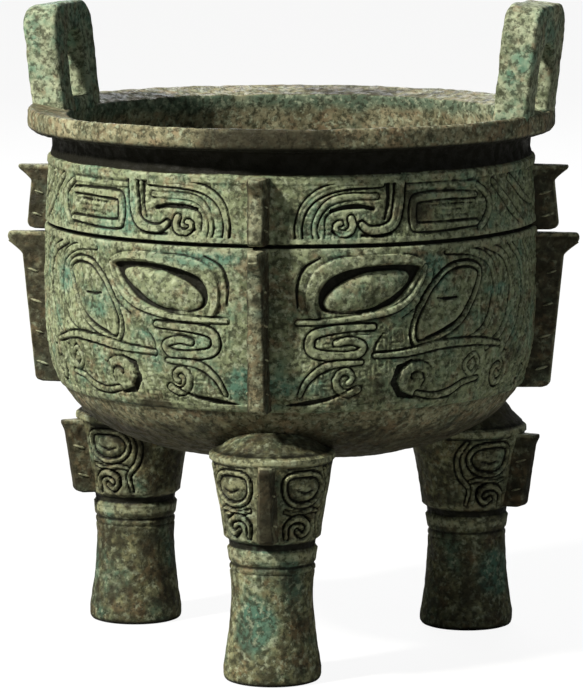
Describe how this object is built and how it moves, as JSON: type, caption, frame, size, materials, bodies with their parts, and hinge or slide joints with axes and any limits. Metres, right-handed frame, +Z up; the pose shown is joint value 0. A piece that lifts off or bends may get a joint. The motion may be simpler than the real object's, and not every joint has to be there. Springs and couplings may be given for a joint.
{
  "type": "bronze ding vessel",
  "caption": "Round bronze ding: deep bowl on column legs, upright slotted handles on a flat rim, hooked flanges and animal masks in relief over a dragon band.",
  "frame": {"origin": "On the floor, under the bowl's axis, at the centre of the bounding box's base", "axes": "+Z is up along the bowl's axis. The front flange points to -Y, and +X is to the right of someone who faces the front."},
  "size_m": [0.33, 0.33, 0.3717],
  "materials": {
    "patinated_bronze": "Cast bronze under a dull grey-green patina with brown, tan and teal patches and near-black grooves"
  },
  "bodies": {
    "root": {"ding_casting": "patinated_bronze"}
  },
  "joints": []
}
